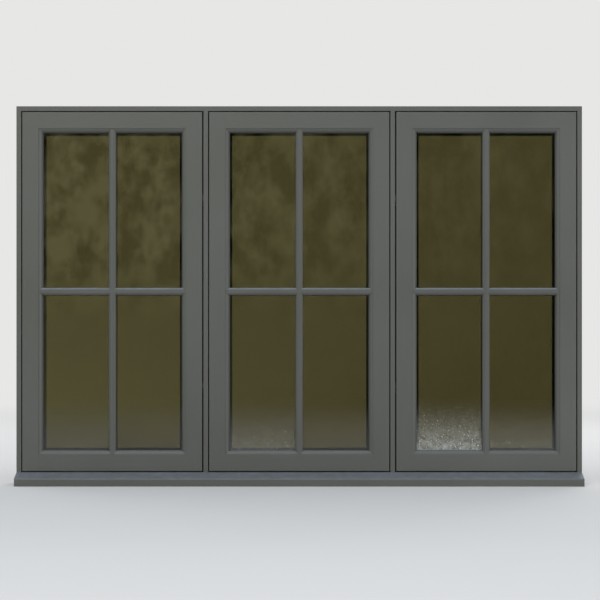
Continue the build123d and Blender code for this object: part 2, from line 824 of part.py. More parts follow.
# Handles on the inside, drawn level, which is unlocked
for sash in opening_sashes:
    side = sash.name.removesuffix("_sash")
    spindle_x = sash.from_lock(spindle_inset)
    base_top = sash_thickness + handle_base_height
    lever_y = sash_thickness + handle_standoff
    base_plane = Plane((spindle_x, sash_thickness, sash_centre_z), x_dir=(1, 0, 0), z_dir=(0, 1, 0))

    with BuildPart() as base:
        with BuildSketch(base_plane):
            SlotOverall(handle_base_length, handle_base_width, rotation=90)
        extrude(amount=handle_base_height)
        fillet(base.faces().sort_by(Axis.Y)[-1].edges(), handle_base_round)
        with BuildSketch(base_plane):
            Circle(collar_radius + collar_clearance)
        extrude(amount=handle_base_height, mode=Mode.SUBTRACT)
        screw_holes(
            [(spindle_x, base_top, z) for z in both_sides(sash_centre_z, 2 * base_screw_offset)],
            (0, 1, 0),
            handle_base_height,
            base_screw_hole_radius,
            base_screw_sink_radius,
        )
    base.part.label = f"{side}_handle_base"
    export_step(base.part, f"parts/{base.part.label}.step")

    with BuildPart() as lever:
        # The grip narrows to a waist, swells again and ends in a half round
        with BuildSketch(
            Plane(
                (spindle_x, lever_y, sash_centre_z),
                x_dir=(-sash.towards_lock, 0, 0),
                z_dir=(0, -1, 0),
            )
        ):
            end_centre = lever_length - lever_end_radius
            with BuildLine():
                Line((0, -lever_root), (0, lever_root))
                ThreePointArc(
                    (0, lever_root), (lever_waist_at, lever_waist), (end_centre, lever_end_radius)
                )
                ThreePointArc(
                    (end_centre, lever_end_radius), (lever_length, 0), (end_centre, -lever_end_radius)
                )
                ThreePointArc(
                    (end_centre, -lever_end_radius), (lever_waist_at, -lever_waist), (0, -lever_root)
                )
            make_face()
        extrude(amount=lever_thickness / 2, both=True)
        fillet(lever.edges().filter_by(GeomType.CIRCLE), lever_round)
        with BuildSketch(Plane((spindle_x, 0, sash_centre_z), x_dir=(1, 0, 0), z_dir=(0, 0, 1))):
            Polygon(
                (0, sash_thickness + collar_lift),
                (collar_radius, sash_thickness + collar_lift),
                (collar_radius, base_top + collar_lift),
                (neck_radius, base_top + neck_taper),
                (neck_radius, lever_y - hub_height / 2),
                (hub_radius, lever_y - hub_height / 2),
                (hub_radius, lever_y + hub_height / 2 - hub_bevel),
                (hub_radius - hub_bevel, lever_y + hub_height / 2),
                (0, lever_y + hub_height / 2),
                align=None,
            )
        revolve(axis=Axis((spindle_x, 0, sash_centre_z), (0, 1, 0)))
        block(
            both_sides(spindle_x, spindle_size),
            (lock_setback - case_width / 2 + spindle_end_gap, sash_thickness + collar_lift),
            both_sides(sash_centre_z, spindle_size),
        )
    lever.part.label = f"{side}_handle_lever"
    export_step(lever.part, f"parts/{lever.part.label}.step")
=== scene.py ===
# %% [markdown]
# A painted timber casement window, dressed for its portrait.
#
# The window is one frame with three equal lights. The two outer sashes swing out on concealed
# friction stays and the middle one is fixed. Its solids come ready made, each in its right place
# and at its real size, so this script moves none of them. What is left to do is what an eye
# judges first: paint, glass, metal and rubber that look like themselves, the screws that hold the
# hardware, and a camera and light that let them be seen.

# %% The frame comes first
import json
import math
import random

import bmesh
import bpy
from mathutils import Matrix, Vector


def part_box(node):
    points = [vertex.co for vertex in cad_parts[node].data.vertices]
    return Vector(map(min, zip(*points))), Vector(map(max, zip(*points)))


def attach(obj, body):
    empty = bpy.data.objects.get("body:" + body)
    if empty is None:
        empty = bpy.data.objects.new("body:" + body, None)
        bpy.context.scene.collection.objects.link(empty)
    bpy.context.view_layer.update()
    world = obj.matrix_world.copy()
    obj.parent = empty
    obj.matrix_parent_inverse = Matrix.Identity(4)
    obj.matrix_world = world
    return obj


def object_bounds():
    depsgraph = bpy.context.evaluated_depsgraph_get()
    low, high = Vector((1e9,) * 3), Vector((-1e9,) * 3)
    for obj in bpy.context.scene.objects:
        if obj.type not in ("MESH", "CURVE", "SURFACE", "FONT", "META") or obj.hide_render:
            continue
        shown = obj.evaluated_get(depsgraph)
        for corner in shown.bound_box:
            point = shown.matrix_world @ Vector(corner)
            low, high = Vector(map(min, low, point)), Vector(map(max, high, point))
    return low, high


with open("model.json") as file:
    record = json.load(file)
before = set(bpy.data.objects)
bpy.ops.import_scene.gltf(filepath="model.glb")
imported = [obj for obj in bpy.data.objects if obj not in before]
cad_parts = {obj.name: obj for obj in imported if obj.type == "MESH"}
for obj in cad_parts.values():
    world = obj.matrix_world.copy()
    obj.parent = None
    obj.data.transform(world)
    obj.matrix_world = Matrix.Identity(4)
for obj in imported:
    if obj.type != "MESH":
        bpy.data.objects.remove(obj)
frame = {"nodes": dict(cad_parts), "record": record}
solid_box = [list(corner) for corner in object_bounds()]
nodes = frame["nodes"]
slots = {part["node"]: part["material_slot"] for part in frame["record"]["subparts"]}
print(len(nodes), "solids, from", solid_box[0], "to", solid_box[1])

# %% [markdown]
# A joiner measures in millimetres and Blender in metres. Naming the millimetre once lets every
# size below be read as it would be on a drawing. The places of the sashes could be typed in from
# that drawing too, but asking the solids themselves means that nothing here has to be kept in
# step by hand.

# %% Units and the places of the sashes
MM = 0.001
STILES = {
    "left": ("hinge_stile", "lock_stile"),
    "middle": ("left_stile", "right_stile"),
    "right": ("lock_stile", "hinge_stile"),
}


def box(*names):
    """The lowest and highest corner of some solids taken together."""
    corners = [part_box(name) for name in names]
    low = Vector([min(corner[0][axis] for corner in corners) for axis in range(3)])
    high = Vector([max(corner[1][axis] for corner in corners) for axis in range(3)])
    return low, high


sash_boxes = {
    side: box(*(f"{side}_sash_{stile}" for stile in stiles)) for side, stiles in STILES.items()
}
for side, (low, high) in sash_boxes.items():
    print(f"{side} sash: {(high.x - low.x) / MM:.0f} by {(high.z - low.z) / MM:.0f} mm")

# %% [markdown]
# The picture to match was taken square on, from a little below the middle of the window, with all
# uprights parallel. A camera that is tilted up would make them lean together. So this one stays
# level and its frame is shifted instead, as an architect's lens does it. The focal length follows
# from one measurement: how many pixels of the picture one metre covers at a known distance.

# %% Camera
PICTURE_SIDE = 600
FOCAL_PIXELS = 1571
EYE_COLUMN = 299.2
EYE_ROW = 336.7
EYE_HEIGHT = 472.5 * MM
EYE_DISTANCE = 5.0
SENSOR_WIDTH = 36
FARTHEST_SEEN = 200

camera_data = bpy.data.cameras.new("portrait_camera")
camera_data.sensor_width = SENSOR_WIDTH
camera_data.lens = SENSOR_WIDTH * FOCAL_PIXELS / PICTURE_SIDE
camera_data.shift_x = (PICTURE_SIDE / 2 - EYE_COLUMN) / PICTURE_SIDE
camera_data.shift_y = (EYE_ROW - PICTURE_SIDE / 2) / PICTURE_SIDE
camera_data.clip_end = FARTHEST_SEEN
camera = bpy.data.objects.new("portrait_camera", camera_data)
camera.location = (0, -EYE_DISTANCE, EYE_HEIGHT)
camera.rotation_euler = (math.radians(90), 0, 0)
bpy.context.scene.collection.objects.link(camera)
bpy.context.scene.camera = camera
print(f"lens {camera_data.lens:.0f} mm, shifted by {camera_data.shift_y:.2f} of the frame")

# %% [markdown]
# Every material below is a small graph of nodes. Wiring them one by one takes four lines a node
# and hides the idea. One helper that makes a node, fills in its inputs and joins what is already
# a socket lets each recipe read as a recipe. The others are the steps that most recipes share: a
# little arithmetic, carrying a value from one range to another, and going between two colours.

# %% Helpers for node graphs
SHADER = "ShaderNode"
MIX_SHARE, MIX_FIRST, MIX_SECOND = 0, 6, 7
MIX_RESULT = 2


def add(tree, kind, inputs=None, **settings):
    """Makes one node. An input may be given a plain value or another node's output."""
    made = tree.nodes.new(SHADER + kind)
    for name, value in settings.items():
        setattr(made, name, value)
    for name, value in (inputs or {}).items():
        if isinstance(value, bpy.types.NodeSocket):
            tree.links.new(value, made.inputs[name])
        else:
            made.inputs[name].default_value = value
    return made


def new_material(name):
    """A material with nothing in its tree yet, and that tree."""
    material = bpy.data.materials.new(name)
    material.use_nodes = True
    material.node_tree.nodes.clear()
    return material, material.node_tree


def show(tree, shader):
    """Makes a shader the surface of the tree's material."""
    add(tree, "OutputMaterial", {"Surface": shader})


def work_out(tree, operation, *values, **settings):
    """One step of arithmetic on plain values and other nodes' outputs."""
    return add(tree, "Math", dict(enumerate(values)), operation=operation, **settings).outputs[0]


def times(tree, first, second):
    return work_out(tree, "MULTIPLY", first, second)


def remap(tree, value, low, high, new_low=0.0, new_high=1.0, curve="LINEAR"):
    """Carries a value from one range to another, and stops it at the ends."""
    inputs = {"Value": value, 1: low, 2: high, 3: new_low, 4: new_high}
    return add(tree, "MapRange", inputs, interpolation_type=curve).outputs["Result"]


def blend_colours(tree, share, first, second):
    """Goes from the first colour to the second as share goes from 0 to 1."""
    inputs = {MIX_SHARE: share, MIX_FIRST: first, MIX_SECOND: second}
    return add(tree, "Mix", inputs, data_type="RGBA").outputs[MIX_RESULT]


# %% [markdown]
# The studio is a pale floor that runs out to a pale background. A curved backdrop would hide the
# horizon as well, but from one side only, and this window is also looked at from behind. So the
# floor stays flat, and the renderer is asked what each ray is for. A ray from the camera can then
# see one thing, a ray that only carries light another, and a ray from a mirror a third. A ray
# that has just passed through glass counts as glossy too, so it has to be told apart from those
# that mirrors send out.

# %% What a ray is for
BACKGROUND = (0.80, 0.80, 0.79, 1)


def shown_rays(tree):
    """1 for a ray that the camera, a mirror or glass sends out, and 0 for plain light."""
    rays = add(tree, "LightPath").outputs
    seen = work_out(tree, "MAXIMUM", rays["Is Camera Ray"], rays["Is Glossy Ray"])
    return work_out(tree, "MAXIMUM", seen, rays["Is Transmission Ray"])


def mirror_rays(tree):
    """1 for a ray that a mirror sends out, and 0 for all others."""
    rays = add(tree, "LightPath").outputs
    return work_out(
        tree, "SUBTRACT", rays["Is Glossy Ray"], rays["Is Transmission Ray"], use_clamp=True
    )


# %% [markdown]
# People who photograph glass hang a dark cloth behind the camera. Without it the panes would
# mirror a pale room and look milky, and bare steel would flash in the dark gaps round the sashes.
# A sheet of real cloth could hang here too, but it would shade the window and get into the other
# views. So the cloth is only a colour that mirrors see when they look to the front. Light falls on
# it from one side, and its loose folds put soft light and dark patches into the upper panes. It
# evens out at its hem, where it meets the floor.

# %% The dark cloth
CLOTH_SHADE = (0.035, 0.040, 0.035, 1)
CLOTH_LIT = (1.0, 0.98, 0.55, 1)
FRONT = (0, -1, 0)
OVERHEAD = (0, 0, 1)
CLOTH_REACH = (0.35, 0.90)
LIGHT_SIDE = (-0.85, 0.0, 0.55)
LIGHT_REACH = (-0.14, 0.24)
FOLDS_ROUND = (66.0, 66.0, 46.0)
FOLD_NOISE = (0.40, 0.66)
FOLD_LIGHT = (0.05, 1.7)
EVEN_LIGHT = 0.75
HEM = 0.05
# Nearly all the values of a noise lie in this range
MOST_NOISE = (0.3, 0.7)
# The scale of a noise whose place has been stretched already
AS_STRETCHED = 1.0


def noise(tree, place, scale, detail=3.0, roughness=0.5):
    """Smooth random values about 0.5, with scale lumps to the metre."""
    inputs = {"Vector": place, "Scale": scale, "Detail": detail, "Roughness": roughness}
    return add(tree, "TexNoise", inputs).outputs["Fac"]


def pointing(tree, direction, side):
    """How far a direction points to one side, from -1 to 1."""
    return add(
        tree, "VectorMath", {0: direction, 1: side}, operation="DOT_PRODUCT"
    ).outputs["Value"]


def cloth_folds(tree, outwards):
    """The light on the folds, which evens out towards the hem."""
    around = add(tree, "Mapping", {"Vector": outwards, "Scale": FOLDS_ROUND}).outputs["Vector"]
    folds = noise(tree, around, AS_STRETCHED, detail=5.0, roughness=0.62)
    above_hem = remap(tree, pointing(tree, outwards, OVERHEAD), 0.0, HEM)
    in_hem = work_out(tree, "SUBTRACT", 1.0, above_hem)
    light = remap(tree, folds, *FOLD_NOISE, *FOLD_LIGHT)
    return work_out(tree, "MULTIPLY_ADD", light, above_hem, times(tree, in_hem, EVEN_LIGHT))


def in_mirrors(tree, outwards, plain, folds):
    """A plain colour, which turns into the cloth where a mirror looks to the front."""
    lit = remap(tree, pointing(tree, outwards, LIGHT_SIDE), *LIGHT_REACH)
    cloth = blend_colours(tree, times(tree, lit, folds), CLOTH_SHADE, CLOTH_LIT)
    share = remap(tree, pointing(tree, outwards, FRONT), *CLOTH_REACH)
    return blend_colours(tree, times(tree, share, mirror_rays(tree)), plain, cloth)


# %% [markdown]
# What lights the window from all round is a sky of its own. It could be the background itself,
# but a real sky is bluer, most of all overhead, and faces turned upwards show it. So plain light
# comes from a cooler sky. The camera, mirrors and glass are shown the background instead.

# %% Sky and background
SKY_TOP = (0.50, 0.58, 0.70, 1)
SKY_SIDE = (0.60, 0.61, 0.62, 1)
SKY_RISE = (0.0, 0.8)
BACKGROUND_RISE = (0.25, 0.95)


def make_world():
    world = bpy.data.worlds.new("studio_air")
    world.use_nodes = True
    tree = world.node_tree
    tree.nodes.clear()
    outwards = add(tree, "TexCoord").outputs["Generated"]
    upwards = add(tree, "SeparateXYZ", {"Vector": outwards}).outputs["Z"]
    sky = blend_colours(tree, remap(tree, upwards, *SKY_RISE), SKY_SIDE, SKY_TOP)
    shown = blend_colours(tree, remap(tree, upwards, *BACKGROUND_RISE), BACKGROUND, SKY_TOP)
    mirrored = in_mirrors(tree, outwards, shown, cloth_folds(tree, outwards))
    colour = blend_colours(tree, shown_rays(tree), sky, mirrored)
    light = add(tree, "Background", {"Color": colour, "Strength": 1.0})
    add(tree, "OutputWorld", {"Surface": light.outputs[0]})
    return world


bpy.context.scene.world = make_world()
print("world:", bpy.context.scene.world.name)

# %% [markdown]
# The floor has to keep the soft shadow that seats the window on it, and there must be no hard
# horizon behind the glass. A plain floor would end in a line, and a glowing one takes no shadow.
# So it is plain matt near the window, and further off it turns slowly into the very colour that
# the background shows. It also throws less light back than it shows, or every lower edge of the
# window would lose its shade.

# %% Floor
FLOOR_COLOUR = (0.69, 0.655, 0.61, 1)
FLOOR_BOUNCE = (0.63, 0.62, 0.60, 1)
FLOOR_MOTTLE = 0.98
MOTTLE_SCALE = 5.0
FLOOR_RADIUS = 60.0
FLOOR_CORNERS = 96
FLOOR_PLAIN_FROM = 1.0
FLOOR_PLAIN_TO = 7.0
FLOOR_DROP = 0.3 * MM


def here(tree):
    """Coordinates in metres that stay with the piece when it moves."""
    return add(tree, "TexCoord").outputs["Object"]


def shade_of(colour, share):
    """The same colour with only a share of its light."""
    return [share * part for part in colour[:3]] + [1]


def blend_shaders(tree, share, first, second):
    """Goes from the first shader to the second as share goes from 0 to 1."""
    return add(tree, "MixShader", {0: share, 1: first, 2: second}).outputs[0]


def floor_material():
    material, tree = new_material("studio_floor")
    place = here(tree)
    mottle = blend_colours(
        tree, noise(tree, place, MOTTLE_SCALE), FLOOR_COLOUR, shade_of(FLOOR_COLOUR, FLOOR_MOTTLE)
    )
    seen = blend_colours(tree, shown_rays(tree), FLOOR_BOUNCE, mottle)
    matt = add(tree, "BsdfDiffuse", {"Color": seen})

    outwards = add(tree, "VectorMath", {0: place}, operation="NORMALIZE").outputs["Vector"]
    mirrored = in_mirrors(tree, outwards, BACKGROUND, EVEN_LIGHT)
    plain = add(tree, "Emission", {"Color": mirrored, "Strength": 1.0})

    distance = add(tree, "VectorMath", {0: place}, operation="LENGTH").outputs["Value"]
    far = remap(tree, distance, FLOOR_PLAIN_FROM, FLOOR_PLAIN_TO, curve="SMOOTHERSTEP")
    share = times(tree, far, shown_rays(tree))
    show(tree, blend_shaders(tree, share, matt.outputs[0], plain.outputs[0]))
    return material


shape = bmesh.new()
bmesh.ops.create_circle(shape, cap_ends=True, segments=FLOOR_CORNERS, radius=FLOOR_RADIUS)
floor_mesh = bpy.data.meshes.new("studio_floor")
shape.to_mesh(floor_mesh)
shape.free()
floor_mesh.materials.append(floor_material())
floor = bpy.data.objects.new("studio_floor", floor_mesh)
floor.location.z = solid_box[0][2] - FLOOR_DROP
bpy.context.scene.collection.objects.link(floor)
print("floor at z =", round(floor.location.z, 4))

# %% [markdown]
# One sun would light the window too, but its shadows would be hard, and the day in the picture is
# a soft one. Large soft lamps do better. The main one hangs high in front, so that each moulding
# is light on its upper side and dark on its lower side, and just too high for the panes to mirror
# it to the camera. A low one far to the right fills the other side. A far, cool lamp overhead
# stands for the open sky on the sill, and a pair behind lights the inside of the window.

# %% Lamps
AIM = Vector((0, 0, 0.6))
DAY = (1.0, 0.985, 0.96)
OPEN_SKY = (0.80, 0.90, 1.0)
INDOORS = (1.0, 0.99, 0.97)
WHITE = (1, 1, 1)
LAMPS = {
    "main_lamp": {"place": (-1.8, -6.8, 3.8), "size": (4.6, 2.4), "watts": 142, "colour": DAY},
    "fill_lamp": {"place": (7.0, -9.0, 1.6), "size": (5.0, 2.6), "watts": 280, "colour": DAY},
    "top_lamp": {"place": (0.0, -2.4, 8.0), "size": (6.0, 4.0), "watts": 195, "colour": OPEN_SKY},
    "inside_lamp": {"place": (1.6, 3.4, 3.2), "size": (3.0, 2.2), "watts": 80, "colour": INDOORS},
    "inside_fill": {"place": (-3.4, 3.0, 1.8), "size": (2.2, 2.2), "watts": 28, "colour": WHITE},
}


def add_lamp(name, place, size, watts, colour):
    """A rectangular soft lamp that points at the middle of the window. Only mirrors show it."""
    data = bpy.data.lights.new(name, "AREA")
    data.shape = "RECTANGLE"
    data.size, data.size_y = size
    data.energy = watts
    data.color = colour
    lamp = bpy.data.objects.new(name, data)
    lamp.location = place
    lamp.rotation_euler = (AIM - Vector(place)).to_track_quat("-Z", "Y").to_euler()
    lamp.visible_camera = False
    lamp.visible_transmission = False
    bpy.context.scene.collection.objects.link(lamp)


for name, lamp in LAMPS.items():
    add_lamp(name, **lamp)
print(len(LAMPS), "lamps:", ", ".join(LAMPS))

# %% [markdown]
# The paint is a satin coat on softwood, a grey with a little green in it. Pictures of real paint
# could be wrapped round it, but they would have seams, and their scale would have to be guessed.
# Noise that is measured in metres has its real scale on every piece. The colour drifts a little
# over a metre and follows the grain underneath. Whatever faces up gets a pale, cool layer in
# patches, which is partly dust and partly painted light of the open sky. It is strongest on the
# bars, weaker on the sill and weakest on the mouldings below the glass.

# %% Colour of the paint
PAINT_DEEP = (0.076, 0.077, 0.068, 1)
PAINT_PALE = (0.092, 0.093, 0.083, 1)
# Pale and cool: partly dust, partly painted light of the open sky on faces that turn up.
PAINT_DUST_AND_SKYLIGHT = (0.185, 0.210, 0.245, 1)
TONE_FROM_GRAIN = 0.35
TONE_SPREAD = (0.32, 0.68)
DUST_AND_SKYLIGHT_FACING = (0.10, 0.75)
PATCH_SCALE = 38.0
PATCH_NOISE = (0.30, 0.75)
PATCH_COVER = (0.35, 1.0)
# How much of the dust and painted skylight each part gets.
DUST_AND_SKYLIGHT_SHARES = {"frame": 0.50, "sash": 0.15, "bar": 1.0}


def clean_paint(tree, grain, drift):
    """The coat's own colour, a little paler on the grain's ridges."""
    from_drift = times(tree, drift, 1 - TONE_FROM_GRAIN)
    tone = work_out(tree, "MULTIPLY_ADD", grain, TONE_FROM_GRAIN, from_drift)
    return blend_colours(tree, remap(tree, tone, *TONE_SPREAD), PAINT_DEEP, PAINT_PALE)


def dust_and_painted_skylight(tree, place, dust_and_skylight_share):
    """How much dust and painted skylight lie on a face: more, the more it faces up."""
    facing = add(tree, "SeparateXYZ", {"Vector": add(tree, "NewGeometry").outputs["Normal"]})
    turned_up = remap(tree, facing.outputs["Z"], *DUST_AND_SKYLIGHT_FACING)
    patches = noise(tree, place, PATCH_SCALE, detail=5.0, roughness=0.65)
    cover = remap(tree, patches, *PATCH_NOISE, *PATCH_COVER)
    return times(tree, times(tree, turned_up, cover), dust_and_skylight_share)


# %% [markdown]
# Seen close, paint is never flat. The grain shows through as long faint ridges, and the spray
# leaves a fine skin like orange peel. Both could be carved into the mesh, but they are thinner
# than a hair, so the Bump node tilts the light instead. The coat also softens every sharp edge,
# and the Bevel node does that to the light too. The grain has to run along each piece of wood, so
# every paint is made twice, once for uprights and once for levels.

# %% Surface of the paint
PAINT_ROUGHNESS = (0.40, 0.54)
DUST_ROUGHENS = 0.35
PAINT_IOR = 1.46
DRIFT_SCALE = 2.6
GRAIN_LENGTH, GRAIN_WIDTH = 5.0, 420.0
GRAIN_DEPTH = 0.05 * MM
PEEL_SCALE = 700.0
PEEL_DEPTH = 0.012 * MM
PAINTED_EDGE = 0.5 * MM
EDGE_SAMPLES = 4


def stretch(tree, place, axis, length, width):
    """Coordinates whose lumps are drawn out: length and width are in lumps to the metre."""
    scale = [width, width, width]
    scale["XYZ".index(axis)] = length
    return add(tree, "Mapping", {"Vector": place, "Scale": scale}).outputs["Vector"]


def soft_edges(tree, radius):
    """Light that turns round each edge, as if the edge were rounded."""
    return add(tree, "Bevel", {"Radius": radius}, samples=EDGE_SAMPLES).outputs[0]


def bump(tree, height, depth, start=None):
    """Light that falls as if the surface rose and fell by the depth."""
    inputs = {"Height": height, "Distance": depth}
    if start is not None:
        inputs["Normal"] = start
    return add(tree, "Bump", inputs).outputs[0]


def paint(name, axis, dust_and_skylight_share):
    """Satin paint on wood whose grain runs along one axis."""
    material, tree = new_material(name)
    place = here(tree)
    drawn_out = stretch(tree, place, axis, GRAIN_LENGTH, GRAIN_WIDTH)
    grain = noise(tree, drawn_out, AS_STRETCHED, detail=4.0)
    drift = noise(tree, place, DRIFT_SCALE)
    peel = noise(tree, place, PEEL_SCALE, detail=1.0)
    # This mask lays both dust and painted skylight on the faces that turn up.
    dust = dust_and_painted_skylight(tree, place, dust_and_skylight_share)
    rough = remap(tree, drift, *MOST_NOISE, *PAINT_ROUGHNESS)
    ridges = bump(tree, grain, GRAIN_DEPTH, soft_edges(tree, PAINTED_EDGE))
    shader = add(
        tree,
        "BsdfPrincipled",
        {
            "Base Color": blend_colours(tree, dust, clean_paint(tree, grain, drift), PAINT_DUST_AND_SKYLIGHT),
            "Roughness": work_out(tree, "ADD", rough, times(tree, dust, DUST_ROUGHENS)),
            "Normal": bump(tree, peel, PEEL_DEPTH, ridges),
            "IOR": PAINT_IOR,
        },
    )
    show(tree, shader.outputs[0])
    return material


paints = {
    (part, axis): paint(f"satin_paint_{part}_{axis.lower()}_grain", axis, share)
    for part, share in DUST_AND_SKYLIGHT_SHARES.items()
    for axis in "XZ"
}
print("paints:", ", ".join(made.name for made in paints.values()))

# %% [markdown]
# Each sash holds a sealed unit: two panes with a dark spacer between them. Clear glass against a
# pale background would vanish, and the panes in the picture are deep and olive brown. So the
# panes are given that body tint, each taking part of the light. Glass also has to let lamps
# through: a real pane casts hardly any shadow, but a renderer would treat it as a solid. The
# usual cure is to swap the glass for a plain tinted film when the ray only asks about a lamp.

# %% Clean panes
PANE_TINT = (0.245, 0.226, 0.128, 1)
GLASS_IOR = 1.5
GLASS_ROUGHNESS = 0.0


def pane_shader(tree):
    """Tinted glass that lets lamps through, before any dust."""
    glass = add(
        tree,
        "BsdfPrincipled",
        {
            "Base Color": PANE_TINT,
            "Roughness": GLASS_ROUGHNESS,
            "IOR": GLASS_IOR,
            "Transmission Weight": 1.0,
        },
    )
    film = add(tree, "BsdfTransparent", {"Color": PANE_TINT})
    asks_lamp = add(tree, "LightPath").outputs["Is Shadow Ray"]
    return blend_shaders(tree, asks_lamp, glass.outputs[0], film.outputs[0])


def clean_glass(name):
    material, tree = new_material(name)
    show(tree, pane_shader(tree))
    return material


inner_pane = clean_glass("sealed_unit_inner_pane")
print("clean panes:", inner_pane.name)

# %% [markdown]
# Rain splashes the panes low down and dries to pale spots of many sizes. Each spot could be a tiny
# mesh, but there are thousands and they have no thickness. A texture of cells does it better: it
# parts the pane into cells, each with a point somewhere inside, and tells how far away that point
# is. Whatever is nearer to it than a chosen radius is a drop. The cell's own random colour settles
# that radius, and in many cells it is nothing. Drops get smaller and fewer with height.

# %% Dried drops
DROPS = ((70.0, 2.6 * MM), (130.0, 1.7 * MM), (330.0, 0.8 * MM))
DROP_CHANCE = (0.45, 1.0)
DROP_EDGE = 0.05


def drops(tree, flat_place, drops_to_metre, largest, low):
    """1 inside a dried drop and 0 outside. Low is 1 at the bottom and 0 where drops end."""
    cells = add(
        tree, "TexVoronoi", {"Vector": flat_place, "Scale": drops_to_metre}, voronoi_dimensions="2D"
    )
    chance = add(tree, "SeparateColor", {"Color": cells.outputs["Color"]}).outputs[0]
    size = times(tree, remap(tree, chance, *DROP_CHANCE), largest * drops_to_metre)
    inside = work_out(tree, "SUBTRACT", times(tree, size, low), cells.outputs["Distance"])
    return remap(tree, inside, 0.0, DROP_EDGE)


def all_drops(tree, parts, low):
    """The drops of every size together, on an upright pane."""
    flat_place = add(tree, "CombineXYZ", {"X": parts["X"], "Y": parts["Z"]}).outputs["Vector"]
    spots = 0.0
    for drops_to_metre, largest in DROPS:
        more = drops(tree, flat_place, drops_to_metre, largest, low)
        spots = work_out(tree, "MAXIMUM", spots, more)
    return spots


# %% [markdown]
# Between the drops lies a thin film of dirt, thickest at the very bottom. The right-hand sash has
# been splashed most, and each sash more on its left half. Only the outer face gets wet. Which face
# that is could be told from its direction in the room, but then the splashes would vanish as the
# sash swings open. So the pane's own direction is asked, which moves with it.

# %% Splashed panes
GLASS_DUST = (0.60, 0.61, 0.58, 1)
SPLASH_AMOUNTS = {"left": 0.12, "middle": 0.30, "right": 0.95}
SPLASH_START = 60 * MM
SPLASH_HEIGHT = 210 * MM
SIDE_FADE = 20 * MM
DRIER_SIDE = 0.25
OUTER_FACE = (-0.9, -0.5)
FILM_SCALE = 70.0
FILM_NOISE = (0.30, 0.75)
FILM_COVER = (0.10, 0.75)


def splashed_glass(name, bottom, middle, amount):
    """Glass with dried splashes low on its outer face, more of them left of the middle."""
    material, tree = new_material(name)
    place = here(tree)
    parts = add(tree, "SeparateXYZ", {"Vector": place}).outputs
    low = remap(tree, parts["Z"], bottom, bottom + SPLASH_HEIGHT, 1.0, 0.0)
    lowest = times(tree, low, times(tree, low, low))
    across = remap(tree, parts["X"], middle - SIDE_FADE, middle + SIDE_FADE, 1.0, DRIER_SIDE)
    own_direction = add(tree, "TexCoord").outputs["Normal"]
    inwards = add(tree, "SeparateXYZ", {"Vector": own_direction}).outputs["Y"]
    on_face = remap(tree, inwards, *OUTER_FACE, 1.0, 0.0)

    dirt = noise(tree, place, FILM_SCALE, detail=6.0, roughness=0.7)
    film = times(tree, remap(tree, dirt, *FILM_NOISE, *FILM_COVER), lowest)
    cover = work_out(tree, "MAXIMUM", film, all_drops(tree, parts, low))
    share = times(tree, times(tree, cover, amount), times(tree, across, on_face))

    dust = add(tree, "BsdfDiffuse", {"Color": GLASS_DUST})
    show(tree, blend_shaders(tree, share, pane_shader(tree), dust.outputs[0]))
    return material


outer_panes = {}
for side, amount in SPLASH_AMOUNTS.items():
    low, high = sash_boxes[side]
    outer_panes[side] = splashed_glass(
        f"sealed_unit_outer_pane_{side}", low.z + SPLASH_START, (low.x + high.x) / 2, amount
    )
print("splashed panes:", ", ".join(pane.name for pane in outer_panes.values()))

# %% [markdown]
# Inside the unit the spacer is a dull black composite with a row of pinholes that let its drying
# grains breathe. They could be drilled into the solid, at the cost of thousands of faces in a slit
# that hardly shows. A nearly regular pattern of cells dents the light there instead, and paints
# the holes nearly black as painted shade.

# %% Spacer
PINHOLES_TO_METRE = 330.0
PINHOLE_SCATTER = 0.15
PINHOLE_RIM = (0.10, 0.16)
PINHOLE_DEPTH = 0.2 * MM
# Painted shade inside the pinholes, which are not cut into the solid.
PINHOLE_SHADE = (0.002, 0.002, 0.002, 1)
SPACER_COLOUR = (0.014, 0.014, 0.013, 1)
SPACER_ROUGHNESS = (0.55, 0.70)
ROUGH_SPOTS_SCALE = 300.0


def spacer_black(name):
    material, tree = new_material(name)
    place = here(tree)
    pattern = {"Vector": place, "Scale": PINHOLES_TO_METRE, "Randomness": PINHOLE_SCATTER}
    cells = add(tree, "TexVoronoi", pattern)
    between_holes = remap(tree, cells.outputs["Distance"], *PINHOLE_RIM)
    rough_spots = noise(tree, place, ROUGH_SPOTS_SCALE)
    shader = add(
        tree,
        "BsdfPrincipled",
        {
            "Base Color": blend_colours(tree, between_holes, PINHOLE_SHADE, SPACER_COLOUR),
            "Roughness": remap(tree, rough_spots, *MOST_NOISE, *SPACER_ROUGHNESS),
            "Normal": bump(tree, between_holes, PINHOLE_DEPTH),
        },
    )
    show(tree, shader.outputs[0])
    return material


spacer_material = spacer_black("spacer_composite")
print("spacer:", spacer_material.name)

# %% [markdown]
# The seal round the back of each sash is a soft rubber with a faint bloom, nearly as black as the
# spacer. Colour alone would make them the same stuff. All that tells such blacks apart is how they
# take the light, so the rubber gets fine pores, and the bloom makes it both paler and duller.

# %% Rubber
RUBBER_BLACK = (0.014, 0.014, 0.014, 1)
RUBBER_BLOOM = (0.034, 0.034, 0.034, 1)
RUBBER_ROUGHNESS = (0.50, 0.72)
BLOOM_SCALE = 45.0
BLOOM_NOISE = (0.35, 0.75)
PORES_TO_METRE = 2400.0
PORE_DEPTH = 0.03 * MM


def seal_rubber(name):
    material, tree = new_material(name)
    place = here(tree)
    bloom = remap(tree, noise(tree, place, BLOOM_SCALE, detail=6.0, roughness=0.7), *BLOOM_NOISE)
    pores = noise(tree, place, PORES_TO_METRE, detail=2.0)
    shader = add(
        tree,
        "BsdfPrincipled",
        {
            "Base Color": blend_colours(tree, bloom, RUBBER_BLACK, RUBBER_BLOOM),
            "Roughness": remap(tree, bloom, 0.0, 1.0, *RUBBER_ROUGHNESS),
            "Normal": bump(tree, pores, PORE_DEPTH),
        },
    )
    show(tree, shader.outputs[0])
    return material


seal_material = seal_rubber("seal_rubber")
print("seal:", seal_material.name)
